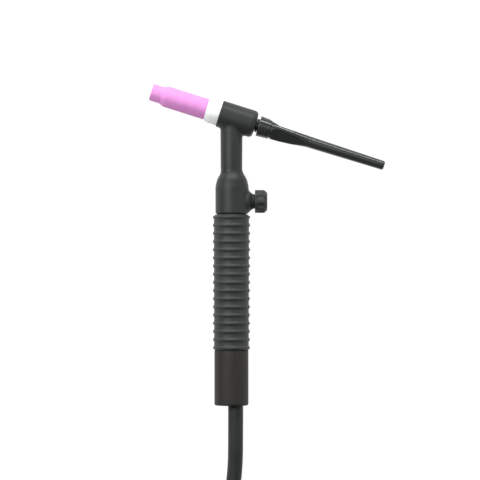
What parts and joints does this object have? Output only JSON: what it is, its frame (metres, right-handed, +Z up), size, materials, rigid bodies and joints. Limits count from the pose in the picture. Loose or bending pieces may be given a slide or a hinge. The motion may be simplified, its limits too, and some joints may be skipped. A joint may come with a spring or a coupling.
{
  "type": "tig torch",
  "caption": "Air-cooled TIG torch with a gas valve: angled head with ceramic nozzle and long back cap, ribbed handle, and its coiled gas and power cable ending in a union nut.",
  "frame": {"origin": "on the surface that the torch lies on, under the middle of the torch's own box, its free cable left out", "axes": "+Y along the handle towards the head, +X towards the back cap and valve knob, +Z up from the surface"},
  "size_m": [0.2435, 0.5327, 0.0497],
  "materials": {
    "nozzle_alumina": "matt fired pink alumina",
    "gasket_ptfe": "smooth white PTFE",
    "turned_brass": "turned, slightly dull",
    "collet_copper": "turned copper",
    "tungsten": "ground grey metal",
    "body_rubber": "satin moulded rubber",
    "grip_rubber": "satin moulded rubber",
    "sleeve_plastic": "semi-gloss moulded plastic",
    "cap_phenolic": "glossy moulded phenolic",
    "knob_plastic": "satin moulded plastic",
    "screw_steel": "zinc plated",
    "cable_rubber": "matt rubber sheath",
    "seal_rubber": "nitrile",
    "tie_strap": "woven hook and loop strap"
  },
  "bodies": {
    "torch": {"cable_in_handle": "cable_rubber", "coil_tie_1": "tie_strap", "coil_tie_2": "tie_strap", "coil_tie_3": "tie_strap", "collet": "collet_copper", "collet_body": "turned_brass", "cup_gasket": "gasket_ptfe", "end_ferrule": "collet_copper", "end_nipple": "turned_brass", "head_tube": "turned_brass", "inlet_ferrule": "collet_copper", "inlet_nipple": "turned_brass", "inlet_nut": "turned_brass", "neck_tube": "collet_copper", "power_cable": "cable_rubber", "power_cable_coil": "cable_rubber", "power_cable_end": "cable_rubber", "rear_sleeve": "sleeve_plastic", "ribbed_grip": "grip_rubber", "tail_tube": "turned_brass", "torch_body": "body_rubber", "valve_block": "turned_brass", "valve_gland": "turned_brass"},
    "nozzle_carriage": {"nozzle": "nozzle_alumina"},
    "electrode_carriage": {"tungsten_electrode": "tungsten"},
    "cap_travel": {"cap_o_ring": "seal_rubber"},
    "cap_screw": {"back_cap": "cap_phenolic"},
    "stem_travel": {"stem_o_ring": "seal_rubber"},
    "knob_screwing": {"valve_stem": "turned_brass", "valve_knob": "knob_plastic", "knob_screw": "screw_steel"},
    "end_nut_spinner": {"end_nut": "turned_brass"}
  },
  "joints": [
    {"name": "nozzle_off", "type": "slide", "parent": "torch", "child": "nozzle_carriage", "axis": [-0.9532, 0.3024, 0], "range_m": [0, 0.013]},
    {"name": "electrode_stickout", "type": "slide", "parent": "torch", "child": "electrode_carriage", "axis": [-0.9532, 0.3024, 0], "range_m": [-0.015, 0.015]},
    {"name": "cap_draw", "type": "slide", "parent": "torch", "child": "cap_travel", "axis": [0.9532, -0.3024, 0], "range_m": [0, 0.00801]},
    {"name": "cap_turn", "type": "hinge", "parent": "cap_travel", "child": "cap_screw", "pos_m": [-0.02943, 0.10563, 0.0154], "axis": [0.9532, -0.3024, 0], "range_deg": [0, 2304]},
    {"name": "stem_draw", "type": "slide", "parent": "torch", "child": "stem_travel", "axis": [1, 0, 0], "range_m": [0, 0.00113]},
    {"name": "knob_turn", "type": "hinge", "parent": "stem_travel", "child": "knob_screwing", "pos_m": [-0.02943, 0.03583, 0.0154], "axis": [1, 0, 0], "range_deg": [0, 540]},
    {"name": "end_nut_spin", "type": "hinge", "parent": "torch", "child": "end_nut_spinner", "pos_m": [0.09003, -0.36528, 0.0382], "axis": [0.829, 0.5592, 0], "continuous": true}
  ],
  "couplings": [
    {"joint": "cap_draw", "follows": "cap_turn", "m_per_rad": 0.00019894},
    {"joint": "stem_draw", "follows": "knob_turn", "m_per_rad": 0.00011937}
  ]
}
